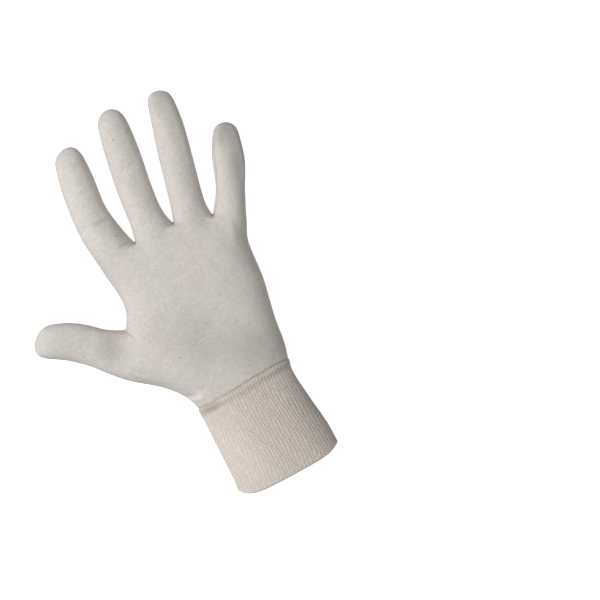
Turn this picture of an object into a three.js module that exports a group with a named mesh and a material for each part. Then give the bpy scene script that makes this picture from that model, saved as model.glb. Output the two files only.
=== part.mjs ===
// Cotton work glove with a knitted rib cuff, lying palm down and filled.
// Millimetres, +Z up. The hand is drawn flat first (x across, y from the wrist seam to the tips),
// then blown up like a cushion: a membrane height is solved on the flat pattern, and the upper
// panel rises from the side seam while the lower one sinks until it meets the floor.
import * as THREE from 'three';

const rad = Math.PI / 180;

// Fabric
const panelWall = 1.3;
const cuffWall = 2.4;
const pieceGap = 0.3;

// Blown up shape of the hand
const backRise = 16.5;
const palmSink = 15.5;
const fillReach = 12.5;
const palmSeamHeight = 12;
const wristSeamHeight = 10.8;
const floorBlend = 1.4;

// How fine the flat pattern is cut
const acrossCount = 6;
const fingerRowCount = 8;
const thumbRowCount = 9;
const tipRowCount = 3;
const crotchRowCount = 9;
const webRowCount = 6;
const sweepCount = 900;

// How soon the columns of a digit crowd to its edges, how fast the bow of its first row fades, how
// soon its seam takes its own height, and how much the palm's columns crowd to its sides
const columnEase = 2.2;
const bowFade = 2;
const seamEase = 1.5;
const sideCrowding = 0.75;

// Length over which the side seam rises from the wrist, and the swell under which folds fade out
const wristBlend = 35;
const rollReach = 0.5;
const foldFade = 0.3;

// Wrist line, where the cuff is sewn on
const wristLeft = { x: -38.6, y: 0.2 };
const wristRight = { x: 28.3, y: 5 };
const wristRise = 13;

// Digits. base is where the middle line starts, lean turns it clockwise from +Y, each section
// gives the distance along the digit and the reach to its left and right edge. tip is the length
// of the rounded end, shift moves its crown sideways, seam is the height of its side seam, and
// roll turns the digit about its own length, which lifts the left seam into view.
const digitTable = [
  {
    name: 'index', x: -43, y: 117, lean: 0.4, length: 74.1,
    tip: 12, blunt: 2, shift: 1.7, roll: 0, seam: 7.9,
    sections: [
      { at: 7.3, left: 15.2, right: 11.4 },
      { at: 14.7, left: 16.2, right: 9.9 },
      { at: 22, left: 16.4, right: 8.0 },
      { at: 31, left: 16.1, right: 7.0 },
      { at: 44, left: 15.2, right: 8.2 },
      { at: 55, left: 13.9, right: 8.5 },
      { at: 62.1, left: 12.1, right: 8.4 },
    ],
  },
  {
    name: 'middle', x: -14.3, y: 114.5, lean: 4.6, length: 87.4,
    tip: 13, blunt: 2, shift: 0.6, roll: 6, seam: 7.9,
    sections: [
      { at: 4.3, left: 12.8, right: 12.4 },
      { at: 10, left: 12.6, right: 10.4 },
      { at: 17.3, left: 12.9, right: 9.4 },
      { at: 34.7, left: 13.3, right: 9.4 },
      { at: 52, left: 12.4, right: 10.4 },
      { at: 69.4, left: 11.4, right: 10.4 },
      { at: 74.4, left: 10.4, right: 9.9 },
    ],
  },
  {
    name: 'ring', x: 12.2, y: 111.8, lean: 9.4, length: 88,
    tip: 11.5, blunt: 2.3, shift: -0.6, roll: 17, seam: 7.8,
    sections: [
      { at: 4.4, left: 12.2, right: 10.4 },
      { at: 17.5, left: 11.5, right: 10.4 },
      { at: 35, left: 11.0, right: 11.3 },
      { at: 52.4, left: 10.3, right: 11.8 },
      { at: 61.2, left: 9.6, right: 12.1 },
      { at: 70, left: 8.6, right: 11.5 },
      { at: 76.5, left: 8.1, right: 10.5 },
    ],
  },
  {
    name: 'little', x: 35, y: 105, lean: 20.6, length: 60.5,
    tip: 11, blunt: 2.3, shift: 0.6, roll: 36, seam: 7.6,
    sections: [
      { at: 3, left: 10.2, right: 10.9 },
      { at: 9, left: 8.6, right: 11.3 },
      { at: 18, left: 7.7, right: 12.1 },
      { at: 30, left: 8.0, right: 13.4 },
      { at: 36, left: 8.6, right: 13.6 },
      { at: 42, left: 8.5, right: 12.7 },
      { at: 49.5, left: 7.4, right: 11.4 },
    ],
  },
];

// Thumb, in the same manner. Its left edge runs on below its base as the root that sweeps down
// to the wrist.
const thumb = {
  x: -66, y: 53, lean: -62.7, length: 59.5, tip: 12, blunt: 2, shift: -3.1, roll: 0, seam: 9.4,
  sections: [
    { at: 5.9, left: 15.0, right: 15.4 },
    { at: 11.8, left: 12.8, right: 15.5 },
    { at: 17.6, left: 10.1, right: 16.6 },
    { at: 23.5, left: 8.1, right: 18.2 },
    { at: 29.4, left: 6.7, right: 19.2 },
    { at: 35, left: 5.4, right: 19.6 },
    { at: 41, left: 4.6, right: 19.4 },
    { at: 47.5, left: 4.6, right: 18.6 },
  ],
};
const thumbRoot = [
  { at: -42.6, left: 28.0 },
  { at: -36.5, left: 25.0 },
  { at: -29.4, left: 22.0 },
  { at: -19, left: 19.6 },
  { at: -10.5, left: 19.2 },
  { at: -4.7, left: 17.8 },
];
const crotchReach = 15.9;

// How the rows of a digit are spread along its two edges: over 1 crowds them to its base
const fingerLead = { left: 1.1, right: 1.1 };
const thumbLead = { left: 0.85, right: 1.3 };

// How far the first row of a finger bows up between its webs
const knuckleBow = 3.5;

// Webs between the four fingers, and the outer base corners of the first and the last
const webTable = [
  { x: -56.2, y: 112 },
  { x: -28.2, y: 114.3 },
  { x: -0.3, y: 115 },
  { x: 24.9, y: 108.6 },
  { x: 45, y: 101.2 },
];

// Palm edges. The inner line parts the palm from the thumb, and is no edge of the glove.
const palmRightEdge = [
  { y: 5, x: 28.3 },
  { y: 15, x: 30.7 },
  { y: 30, x: 31.9 },
  { y: 45, x: 34.4 },
  { y: 60, x: 36.8 },
  { y: 75, x: 37.5 },
  { y: 85, x: 38.0 },
  { y: 93, x: 42.0 },
  { y: 101.2, x: 45 },
];
const palmLeftEdge = [
  { y: 67.1, x: -58.7 },
  { y: 71, x: -55.8 },
  { y: 76, x: -53.5 },
  { y: 84, x: -52.4 },
  { y: 92, x: -53.1 },
  { y: 102, x: -55.0 },
  { y: 112, x: -56.2 },
];
const thumbLine = [
  { y: 9, x: -41.0 },
  { y: 24, x: -43.5 },
  { y: 42, x: -47.0 },
  { y: 56, x: -52.0 },
  { y: 67.1, x: -58.7 },
];

// Dents and folds of the upper panel: middle, direction (degrees from +X), half length along the
// fold, half width across it, and depth
const foldTable = [
  { name: 'thumb hollow', x: -68, y: 59, turn: 40, long: 11, wide: 6, deep: 1.6 },
  { name: 'palm dip', x: -14, y: 33, turn: 80, long: 22, wide: 12, deep: 1.5 },
  { name: 'index crease', x: -41, y: 136, turn: 8, long: 9, wide: 2.6, deep: 0.9 },
  { name: 'wrist pucker', x: -37, y: 9, turn: -30, long: 7, wide: 3.5, deep: 1.3 },
  { name: 'ring root', x: 17, y: 110, turn: 70, long: 9, wide: 5, deep: 1.2 },
  { name: 'knuckle dip', x: -6, y: 97, turn: 5, long: 30, wide: 8, deep: 0.8 },
];

// Cuff: distance below the wrist seam, and how far its left edge, right edge and top stand out
// from where they are at the wrist
const cuffTable = [
  { down: 0, left: 0, right: -0.1, rise: 0 },
  { down: 1.8, left: 0.4, right: -0.2, rise: 0.5 },
  { down: 4.6, left: 0.4, right: -0.9, rise: 0.4 },
  { down: 8, left: 0, right: -1.3, rise: -0.5 },
  { down: 30, left: -0.3, right: 1.2, rise: -0.7 },
  { down: 52, left: -0.6, right: 4.3, rise: -0.5 },
  { down: 68, left: 0, right: 5.0, rise: -0.6 },
];
const cuffLength = 67;
const cuffHemTilt = 0.03;
const cuffHemLift = { left: 6.5, right: 4 };
const ribCount = 72;
const ribDepth = 0.55;

// Overlocked seam allowance inside the top of the cuff
const allowanceDepth = 4.4;
const allowanceThick = 1.7;
const allowanceStart = 0.6;
const allowanceColumnCount = 40;

const clampTo = (v, lo, hi) => Math.min(hi, Math.max(lo, v));
const mix = (a, b, t) => a + (b - a) * t;
const ease = (t) => {
  const c = clampTo(t, 0, 1);
  return c * c * (3 - 2 * c);
};

// Smooth curve through table rows, with slopes limited so that it never overshoots
function curveOf(rows, key, value) {
  const n = rows.length;
  const xs = rows.map((row) => row[key]);
  const ys = rows.map((row) => row[value]);
  const step = [];
  for (let i = 0; i < n - 1; i += 1) {
    step.push((ys[i + 1] - ys[i]) / (xs[i + 1] - xs[i]));
  }
  const slope = [step[0]];
  for (let i = 1; i < n - 1; i += 1) {
    const flat = step[i - 1] * step[i] <= 0;
    slope.push(flat ? 0 : 2 * step[i - 1] * step[i] / (step[i - 1] + step[i]));
  }
  slope.push(step[n - 2]);
  return (x) => {
    const c = clampTo(x, xs[0], xs[n - 1]);
    let i = 0;
    while (i < n - 2 && c > xs[i + 1]) {
      i += 1;
    }
    const w = xs[i + 1] - xs[i];
    const t = (c - xs[i]) / w;
    const a = ys[i] * (1 + 2 * t) * (1 - t) * (1 - t) + ys[i + 1] * t * t * (3 - 2 * t);
    return a + w * (slope[i] * t * (1 - t) * (1 - t) - slope[i + 1] * t * t * (1 - t));
  };
}

// Flat pattern: points with their seam height, and quads between them
const flat = [];
const quads = [];
const turned = new Map();
const addPoint = (x, y, seam) => {
  flat.push({ x, y, seam });
  return flat.length - 1;
};
const sineShare = (j, n) => 0.5 - 0.5 * Math.cos(Math.PI * j / n);

// Local frame of a digit
function digitFrame(digit) {
  const s = Math.sin(digit.lean * rad);
  const c = Math.cos(digit.lean * rad);
  return {
    side: [c, -s],
    place: (along, side) => [digit.x + s * along + c * side, digit.y + c * along - s * side],
    alongOf: (x, y) => s * (x - digit.x) + c * (y - digit.y),
    sideOf: (x, y) => c * (x - digit.x) - s * (y - digit.y),
  };
}

// Rows of a digit above its first row: sections between its two edges, then a rounded tip
function digitRows(digit, start, baseRow, bodyRows, leftCurve, rightCurve, lead) {
  const frame = digitFrame(digit);
  const last = digit.sections[digit.sections.length - 1];
  const n = baseRow.length - 1;
  const capStart = digit.length - digit.tip;
  const half = (last.left + last.right) / 2;
  const middle = (last.right - last.left) / 2;
  const baseSeam = flat[baseRow[Math.floor(n / 2)]].seam;
  let below = baseRow;
  const rows = [baseRow];
  const total = bodyRows + tipRowCount;
  let span = { middle: 0, half: 1, row: baseRow };
  const pushRow = (row, rise) => {
    row.forEach((id) => turned.set(id, { ...span, frame, roll: digit.roll * ease(rise / rollReach) }));
    for (let j = 0; j < n; j += 1) {
      quads.push([below[j], below[j + 1], row[j + 1], row[j]]);
    }
    rows.push(row);
    below = row;
  };
  const shares = baseRow.map((id, j) => {
    const a = flat[baseRow[0]];
    const b = flat[baseRow[n]];
    const p = flat[id];
    const w = (b.x - a.x) * (b.x - a.x) + (b.y - a.y) * (b.y - a.y);
    return ((p.x - a.x) * (b.x - a.x) + (p.y - a.y) * (b.y - a.y)) / w;
  });
  const bows = baseRow.map((id, j) => {
    const a = flat[baseRow[0]];
    const b = flat[baseRow[n]];
    return [flat[id].x - mix(a.x, b.x, shares[j]), flat[id].y - mix(a.y, b.y, shares[j])];
  });
  for (let i = 1; i <= bodyRows; i += 1) {
    const f = i / bodyRows;
    const atLeft = mix(start.left, capStart, Math.pow(f, lead.left));
    const atRight = mix(start.right, capStart, Math.pow(f, lead.right));
    const a = frame.place(atLeft, -leftCurve(atLeft));
    const b = frame.place(atRight, rightCurve(atRight));
    const seam = mix(baseSeam, digit.seam, ease(seamEase * i / total));
    const fade = Math.pow(1 - f, bowFade);
    const row = [];
    for (let j = 0; j <= n; j += 1) {
      const s = mix(shares[j], sineShare(j, n), ease(columnEase * f));
      const x = mix(a[0], b[0], s) + bows[j][0] * fade;
      const y = mix(a[1], b[1], s) + bows[j][1] * fade;
      row.push(addPoint(x, y, seam));
    }
    const low = frame.sideOf(a[0], a[1]);
    const high = frame.sideOf(b[0], b[1]);
    span = { middle: (low + high) / 2, half: (high - low) / 2, row };
    pushRow(row, i / total);
  }
  for (let k = 1; k <= tipRowCount; k += 1) {
    const v = Math.sin(0.5 * Math.PI * k / tipRowCount);
    const row = [];
    for (let j = 0; j <= n; j += 1) {
      const u = Math.sin(0.5 * Math.PI * (2 * j / n - 1));
      const px = u * Math.sqrt(1 - v * v / 2);
      const py = v * Math.sqrt(1 - u * u / 2);
      const r = Math.hypot(px, py);
      const power = digit.blunt;
      const blunt = r / Math.pow(Math.pow(Math.abs(px), power) + Math.pow(py, power), 1 / power);
      const side = middle + px * blunt * half + digit.shift * py * py;
      const spot = frame.place(capStart + py * blunt * digit.tip, side);
      row.push(addPoint(spot[0], spot[1], digit.seam));
    }
    pushRow(row, 1);
  }
  return rows;
}

// Palm: a patch between the wrist line, the webs and its two sides
const fingerCount = digitTable.length;
const palmColumns = fingerCount * acrossCount;
const palmRows = 1 + crotchRowCount + webRowCount;
const rightEdge = curveOf(palmRightEdge, 'y', 'x');
const leftEdge = curveOf(palmLeftEdge, 'y', 'x');
const lineCurve = curveOf(thumbLine, 'y', 'x');
const crotchY = palmLeftEdge[0].y;
const rootY = thumbLine[0].y;
const topY = webTable[0].y;
const rightTop = webTable[fingerCount];
const sideSeam = (y) => mix(wristSeamHeight, palmSeamHeight, ease(y / wristBlend));

const leftSide = [];
const rightSide = [];
for (let i = 0; i <= palmRows; i += 1) {
  let y = wristLeft.y;
  let x = wristLeft.x;
  if (i >= 1 && i <= 1 + crotchRowCount) {
    y = mix(rootY, crotchY, (i - 1) / crotchRowCount);
    x = lineCurve(y);
  } else if (i > 1 + crotchRowCount) {
    y = mix(crotchY, topY, (i - 1 - crotchRowCount) / webRowCount);
    x = leftEdge(y);
  }
  leftSide.push([x, y]);
  const rise = (y - wristLeft.y) / (topY - wristLeft.y);
  const ry = mix(wristRight.y, rightTop.y, rise);
  rightSide.push([rightEdge(ry), ry]);
}
const bottomSide = [];
const topSide = [];
for (let j = 0; j <= palmColumns; j += 1) {
  const s = mix(j / palmColumns, sineShare(j, palmColumns), sideCrowding);
  bottomSide.push([mix(wristLeft.x, wristRight.x, s), mix(wristLeft.y, wristRight.y, s)]);
  const k = Math.min(Math.floor(j / acrossCount), fingerCount - 1);
  const t = sineShare(j - k * acrossCount, acrossCount);
  const a = webTable[k];
  const b = webTable[k + 1];
  topSide.push([mix(a.x, b.x, t), mix(a.y, b.y, t) + knuckleBow * Math.sin(Math.PI * t)]);
}
const palmGrid = [];
for (let i = 0; i <= palmRows; i += 1) {
  const row = [];
  for (let j = 0; j <= palmColumns; j += 1) {
    const vl = (leftSide[i][1] - leftSide[0][1]) / (leftSide[palmRows][1] - leftSide[0][1]);
    const ub = (bottomSide[j][0] - bottomSide[0][0]) / (bottomSide[palmColumns][0] - bottomSide[0][0]);
    const ut = (topSide[j][0] - topSide[0][0]) / (topSide[palmColumns][0] - topSide[0][0]);
    const v = vl;
    const u = mix(ub, ut, ease(v));
    const spot = [0, 1].map((c) => {
      const corners = mix(
        mix(bottomSide[0][c], bottomSide[palmColumns][c], u),
        mix(topSide[0][c], topSide[palmColumns][c], u),
        v,
      );
      return mix(bottomSide[j][c], topSide[j][c], v) + mix(leftSide[i][c], rightSide[i][c], u) - corners;
    });
    row.push(addPoint(spot[0], spot[1], sideSeam(spot[1])));
  }
  palmGrid.push(row);
}
for (let i = 0; i < palmRows; i += 1) {
  for (let j = 0; j < palmColumns; j += 1) {
    quads.push([palmGrid[i][j], palmGrid[i][j + 1], palmGrid[i + 1][j + 1], palmGrid[i + 1][j]]);
  }
}

// Four fingers on the top row of the palm
digitTable.forEach((digit, k) => {
  const frame = digitFrame(digit);
  const a = webTable[k];
  const b = webTable[k + 1];
  const start = { left: frame.alongOf(a.x, a.y), right: frame.alongOf(b.x, b.y) };
  const leftRows = [{ at: start.left, left: -frame.sideOf(a.x, a.y) }, ...digit.sections];
  const rightRows = [{ at: start.right, right: frame.sideOf(b.x, b.y) }, ...digit.sections];
  const baseRow = palmGrid[palmRows].slice(k * acrossCount, (k + 1) * acrossCount + 1);
  const leftCurve = curveOf(leftRows, 'at', 'left');
  const rightCurve = curveOf(rightRows, 'at', 'right');
  digitRows(digit, start, baseRow, fingerRowCount, leftCurve, rightCurve, fingerLead);
});

// Thumb on the inner line of the palm, from the root up to the crotch
const thumbBase = [];
for (let i = 1; i <= 1 + crotchRowCount; i += 1) {
  thumbBase.push(palmGrid[i][0]);
}
const crotchRows = [{ at: 0, right: crotchReach }, ...thumb.sections];
const rootRows = [...thumbRoot, ...thumb.sections];
digitRows(
  thumb,
  { left: thumbRoot[0].at, right: 0 },
  thumbBase,
  thumbRowCount,
  curveOf(rootRows, 'at', 'left'),
  curveOf(crotchRows, 'at', 'right'),
  thumbLead,
);

// Triangles of the flat pattern, split along the shorter diagonal
const triangles = [];
quads.forEach(([a, b, c, d]) => {
  const ac = Math.hypot(flat[a].x - flat[c].x, flat[a].y - flat[c].y);
  const bd = Math.hypot(flat[b].x - flat[d].x, flat[b].y - flat[d].y);
  if (ac <= bd) {
    triangles.push([a, b, c], [a, c, d]);
  } else {
    triangles.push([a, b, d], [b, c, d]);
  }
});

// Edges that only one triangle has are the rim of the pattern
function rimEdges(list) {
  const seen = new Map();
  list.forEach((tri) => {
    for (let k = 0; k < 3; k += 1) {
      seen.set(`${tri[k]}_${tri[(k + 1) % 3]}`, [tri[k], tri[(k + 1) % 3]]);
    }
  });
  const out = [];
  seen.forEach(([a, b]) => {
    if (!seen.has(`${b}_${a}`)) {
      out.push([a, b]);
    }
  });
  return out;
}
const rim = rimEdges(triangles);
const wristRow = new Set(palmGrid[0]);
const wristEnds = new Set([palmGrid[0][0], palmGrid[0][palmColumns]]);

// Which way the rim faces, seen from above
const outward = flat.map(() => [0, 0]);
const onRim = flat.map(() => false);
rim.forEach(([a, b]) => {
  const ex = flat[b].x - flat[a].x;
  const ey = flat[b].y - flat[a].y;
  const onWrist = wristRow.has(a) && wristRow.has(b);
  onRim[a] = true;
  onRim[b] = true;
  if (!onWrist) {
    const len = Math.hypot(ex, ey);
    [a, b].forEach((id) => {
      outward[id][0] += ey / len;
      outward[id][1] -= ex / len;
    });
  }
});

// Membrane: held at nothing along the side seam and at the cuff's own arch along the wrist, and
// pushed up evenly elsewhere. Gauss and Seidel sweeps over the triangle weights.
const lift = flat.map(() => 0);
const fixed = flat.map(() => false);
const arch = (wristRise / backRise) ** 2;
rim.forEach(([a, b]) => {
  fixed[a] = true;
  fixed[b] = true;
});
palmGrid[0].forEach((id, j) => {
  const a = bottomSide[0][0];
  const s = (bottomSide[j][0] - a) / (bottomSide[palmColumns][0] - a);
  lift[id] = arch * 4 * s * (1 - s);
});
const links = flat.map(() => []);
const share = flat.map(() => 0);
triangles.forEach((tri) => {
  const p = tri.map((id) => flat[id]);
  const area = 0.5 * ((p[1].x - p[0].x) * (p[2].y - p[0].y) - (p[2].x - p[0].x) * (p[1].y - p[0].y));
  for (let k = 0; k < 3; k += 1) {
    const o = p[k];
    const q = p[(k + 1) % 3];
    const r = p[(k + 2) % 3];
    const dot = (q.x - o.x) * (r.x - o.x) + (q.y - o.y) * (r.y - o.y);
    const weight = dot / (4 * Math.max(area, 1e-6));
    links[tri[(k + 1) % 3]].push([tri[(k + 2) % 3], weight]);
    links[tri[(k + 2) % 3]].push([tri[(k + 1) % 3], weight]);
    share[tri[k]] += area / 3;
  }
});
for (let sweep = 0; sweep < sweepCount; sweep += 1) {
  for (let i = 0; i < flat.length; i += 1) {
    if (!fixed[i]) {
      let top = share[i] / (fillReach * fillReach);
      let under = top;
      links[i].forEach(([j, w]) => {
        top += w * lift[j];
        under += w;
      });
      lift[i] = Math.max(0, top / under);
    }
  }
}
const swell = lift.map((h) => Math.sqrt(h));

const foldDepth = (x, y) => foldTable.reduce((sum, fold) => {
  const c = Math.cos(fold.turn * rad);
  const s = Math.sin(fold.turn * rad);
  const along = ((x - fold.x) * c + (y - fold.y) * s) / fold.long;
  const across = ((y - fold.y) * c - (x - fold.x) * s) / fold.wide;
  return sum + fold.deep * Math.exp(-along * along - across * across);
}, 0);

// Nothing goes under the floor: heights near it bend smoothly to lie on it
const onFloor = (z) => {
  if (z >= floorBlend) {
    return z;
  }
  return z <= -floorBlend ? 0 : (z + floorBlend) * (z + floorBlend) / (4 * floorBlend);
};

// A point of a skin: up from the side seam for the upper panel (face 1), down for the lower (-1).
// In a rolled digit the section turns about its own middle, and the seams go round with it.
function skinPoint(p, i, face) {
  const turn = turned.get(i);
  let side = 0;
  let up = face * swell[i];
  let slant = [0, 1];
  if (turn && turn.roll > 0) {
    const peak = swell[turn.row[Math.floor(turn.row.length / 2)]];
    const c = Math.cos(turn.roll * rad);
    const s = Math.sin(turn.roll * rad);
    const across = (turn.frame.sideOf(p.x, p.y) - turn.middle) / turn.half;
    const tall = up / peak;
    side = (across * c + tall * s - across) * turn.half;
    up = (tall * c - across * s) * peak;
    slant = [s, c];
  }
  side += face * slant[0] * pieceGap / 2;
  const axis = turn ? turn.frame.side : [1, 0];
  const fold = face > 0 ? foldDepth(p.x, p.y) * ease(swell[i] / foldFade) : 0;
  const height = up * (up > 0 ? backRise : palmSink) + face * slant[1] * pieceGap / 2 - fold;
  return [p.x + axis[0] * side, p.y + axis[1] * side, onFloor(p.seam + height)];
}
const backSkin = flat.map((p, i) => skinPoint(p, i, 1));
const palmSkin = flat.map((p, i) => skinPoint(p, i, -1));

// Which way the cut edge of the fabric faces, turned with its digit
function edgeNormal(i) {
  const turn = turned.get(i);
  const [x, y] = outward[i];
  if (!turn) {
    return [x, y, 0];
  }
  const [sx, sy] = turn.frame.side;
  const side = x * sx + y * sy;
  const c = Math.cos(turn.roll * rad);
  return [x + sx * side * (c - 1), y + sy * side * (c - 1), -side * Math.sin(turn.roll * rad)];
}

// Closed wall between an outer skin and its copy set in by the fabric's thickness
function shellOf(skin, side) {
  const normal = skin.map(() => new THREE.Vector3());
  const a = new THREE.Vector3();
  const b = new THREE.Vector3();
  const faces = triangles.map((tri) => (side > 0 ? tri : [tri[0], tri[2], tri[1]]));
  faces.forEach((tri) => {
    const [p, q, r] = tri.map((id) => skin[id]);
    a.set(q[0] - p[0], q[1] - p[1], q[2] - p[2]);
    b.set(r[0] - p[0], r[1] - p[1], r[2] - p[2]);
    a.cross(b);
    tri.forEach((id) => normal[id].add(a));
  });
  const inner = skin.map((p, i) => {
    const n = normal[i];
    if (onRim[i] && (!wristRow.has(i) || wristEnds.has(i))) {
      n.fromArray(edgeNormal(i));
      n.y *= wristEnds.has(i) ? 0 : 1;
    } else if (wristRow.has(i)) {
      n.y = 0;
    }
    n.normalize();
    return [p[0] - n.x * panelWall, p[1] - n.y * panelWall, p[2] - n.z * panelWall];
  });
  const count = skin.length;
  const all = [...faces];
  faces.forEach(([p, q, r]) => all.push([p + count, r + count, q + count]));
  rimEdges(faces).forEach(([p, q]) => {
    all.push([q, p, p + count], [q, p + count, q + count]);
  });
  return geometryOf([...skin, ...inner], all);
}

function geometryOf(points, faces) {
  const geometry = new THREE.BufferGeometry();
  const spots = new Float32Array(points.flat());
  geometry.setAttribute('position', new THREE.BufferAttribute(spots, 3));
  geometry.setIndex(faces.flat());
  geometry.computeVertexNormals();
  return geometry;
}

// Cuff section at a distance below the wrist: an arch over the side line and one under it
const cuffLeft = curveOf(cuffTable, 'down', 'left');
const cuffRight = curveOf(cuffTable, 'down', 'right');
const cuffRise = curveOf(cuffTable, 'down', 'rise');
const wristSink = palmSink * wristRise / backRise;
const wristY = (x) => {
  const t = (x - wristLeft.x) / (wristRight.x - wristLeft.x);
  return mix(wristLeft.y, wristRight.y, t);
};
function cuffSpot(down, angle) {
  const left = wristLeft.x - cuffLeft(down);
  const right = wristRight.x + cuffRight(down);
  const middle = (left + right) / 2;
  const half = (right - left) / 2;
  const s = Math.sin(angle);
  const x = middle + half * Math.cos(angle);
  const tall = s > 0 ? wristRise + cuffRise(down) : wristSink + 0.5 * cuffRise(down);
  return [x, onFloor(wristSeamHeight + tall * s), middle];
}
function cuffPoint(down, angle, inset) {
  const spot = cuffSpot(down, angle);
  const ahead = cuffSpot(down, angle + 0.01);
  const behind = cuffSpot(down, angle - 0.01);
  const tx = ahead[0] - behind[0];
  const tz = ahead[1] - behind[1];
  const len = Math.hypot(tx, tz);
  const x = spot[0] - inset * tz / len;
  const z = Math.max(0, spot[1] + inset * tx / len);
  const far = down / cuffLength;
  const turned = Math.cos(angle);
  const lifted = turned < 0 ? cuffHemLift.left : cuffHemLift.right;
  const raise = lifted * Math.pow(Math.abs(turned), 6) * Math.pow(far, 3);
  const y = wristY(x) - pieceGap - down - cuffHemTilt * (x - spot[2]) * far + raise;
  return [x, y, z];
}
// Angles that part the cuff's girth evenly
function evenAngles(count) {
  const fine = 2000;
  const run = [0];
  for (let i = 1; i <= fine; i += 1) {
    const p = cuffSpot(30, 2 * Math.PI * (i - 1) / fine);
    const q = cuffSpot(30, 2 * Math.PI * i / fine);
    run.push(run[i - 1] + Math.hypot(q[0] - p[0], q[1] - p[1]));
  }
  const out = [];
  let k = 0;
  for (let j = 0; j < count; j += 1) {
    const goal = run[fine] * j / count;
    while (run[k + 1] < goal) {
      k += 1;
    }
    const t = (goal - run[k]) / (run[k + 1] - run[k]);
    out.push(2 * Math.PI * (k + t) / fine);
  }
  return out;
}

// Ring: a closed loop of (down, inset) pairs carried round the girth
function ringOf(loop, count) {
  const angles = evenAngles(count);
  const points = [];
  const faces = [];
  const n = loop.length;
  angles.forEach((angle, j) => {
    loop.forEach((step) => {
      const rib = (j % 2 === 0 ? 0.5 : -0.5) * step.rib;
      points.push(cuffPoint(step.down, angle, step.inset - rib));
    });
  });
  for (let j = 0; j < count; j += 1) {
    for (let i = 0; i < n; i += 1) {
      const a = j * n + i;
      const b = j * n + (i + 1) % n;
      const c = ((j + 1) % count) * n + (i + 1) % n;
      const d = ((j + 1) % count) * n + i;
      faces.push([a, c, b], [a, d, c]);
    }
  }
  return geometryOf(points, faces);
}
const hemRadius = cuffWall / 2;
const hemStart = cuffLength - hemRadius;
const cuffLoop = [];
[0, 1.8, 4.6, 8, 30, 52].forEach((down) => {
  cuffLoop.push({ down, inset: 0, rib: ribDepth * ease(down / 7) });
});
[0, 60, 120, 180].forEach((turn) => {
  const down = hemStart + hemRadius * Math.sin(turn * rad);
  const inset = hemRadius * (1 - Math.cos(turn * rad));
  cuffLoop.push({ down, inset, rib: ribDepth * (turn < 90 ? 1 : 0) });
});
[33, 8, 3.2, 0].forEach((down) => {
  cuffLoop.push({ down, inset: cuffWall, rib: 0 });
});

const allowanceLoop = [0, 60, 120, 180, 240, 300].map((turn) => ({
  down: allowanceStart + allowanceDepth * (0.5 - 0.5 * Math.cos((turn + 30) * rad) / Math.cos(30 * rad)),
  inset: cuffWall + 2 * pieceGap + allowanceThick * (0.5 - 0.5 * Math.sin((turn + 30) * rad)),
  rib: 0,
}));

// Pieces
const group = new THREE.Group();
group.name = 'cotton_work_glove';
function addPiece(name, geometry, color, roughness) {
  const material = new THREE.MeshStandardMaterial({ color, roughness, metalness: 0 });
  material.name = `${name}_cotton`;
  const mesh = new THREE.Mesh(geometry, material);
  mesh.name = name;
  group.add(mesh);
}
addPiece('back_panel', shellOf(backSkin, 1), 0xe9e4da, 0.95);
addPiece('palm_panel', shellOf(palmSkin, -1), 0xe4dfd5, 0.95);
addPiece('rib_cuff', ringOf(cuffLoop, 2 * ribCount), 0xe2d8cc, 0.96);
addPiece('wrist_allowance', ringOf(allowanceLoop, allowanceColumnCount), 0xddd5c8, 0.96);

// The origin is the middle of the underside of the whole
const box = new THREE.Box3().setFromObject(group);
const middle = box.getCenter(new THREE.Vector3());
group.children.forEach((mesh) => {
  mesh.geometry.translate(-middle.x, -middle.y, -box.min.z);
});

export default group;
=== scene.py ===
# Cotton work glove with a rib cuff: finish, knit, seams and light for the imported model.
import math

import bmesh
import bpy
import numpy as np
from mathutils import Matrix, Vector
from mathutils.bvhtree import BVHTree


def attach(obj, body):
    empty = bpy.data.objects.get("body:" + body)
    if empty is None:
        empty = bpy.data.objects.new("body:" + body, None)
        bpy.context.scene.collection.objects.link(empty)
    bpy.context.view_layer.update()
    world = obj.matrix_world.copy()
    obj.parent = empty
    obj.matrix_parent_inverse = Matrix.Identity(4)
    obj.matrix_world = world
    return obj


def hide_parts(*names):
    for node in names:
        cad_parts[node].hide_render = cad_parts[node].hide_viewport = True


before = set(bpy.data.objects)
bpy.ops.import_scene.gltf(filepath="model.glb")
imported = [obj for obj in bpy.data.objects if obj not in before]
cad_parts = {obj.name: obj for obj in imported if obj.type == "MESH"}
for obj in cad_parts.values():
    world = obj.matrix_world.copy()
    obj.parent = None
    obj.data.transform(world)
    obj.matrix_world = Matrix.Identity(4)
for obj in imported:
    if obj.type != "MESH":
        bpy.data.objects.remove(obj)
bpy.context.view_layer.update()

mm = 0.001

# The hand's pattern frame: millimetres from the wrist seam's middle, fingers up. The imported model
# is the same, moved by this much.
patternShift = (26.999, -68.291)


# Small tools for objects and meshes

def deselectAll():
    if bpy.context.mode != "OBJECT":
        bpy.ops.object.mode_set(mode="OBJECT")
    bpy.ops.object.select_all(action="DESELECT")


def makeActive(piece):
    deselectAll()
    piece.select_set(True)
    bpy.context.view_layer.objects.active = piece


def applyModifier(piece, kind, **settings):
    makeActive(piece)
    modifier = piece.modifiers.new(kind.lower(), kind)
    for key, value in settings.items():
        setattr(modifier, key, value)
    bpy.ops.object.modifier_apply(modifier=modifier.name)


def readPoints(mesh):
    points = np.empty(len(mesh.vertices) * 3)
    mesh.vertices.foreach_get("co", points)
    return points.reshape(-1, 3)


def readNormals(mesh):
    normals = np.empty(len(mesh.vertices) * 3)
    mesh.vertices.foreach_get("normal", normals)
    return normals.reshape(-1, 3)


def writePoints(mesh, points):
    mesh.vertices.foreach_set("co", points.ravel())
    mesh.update()


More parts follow.
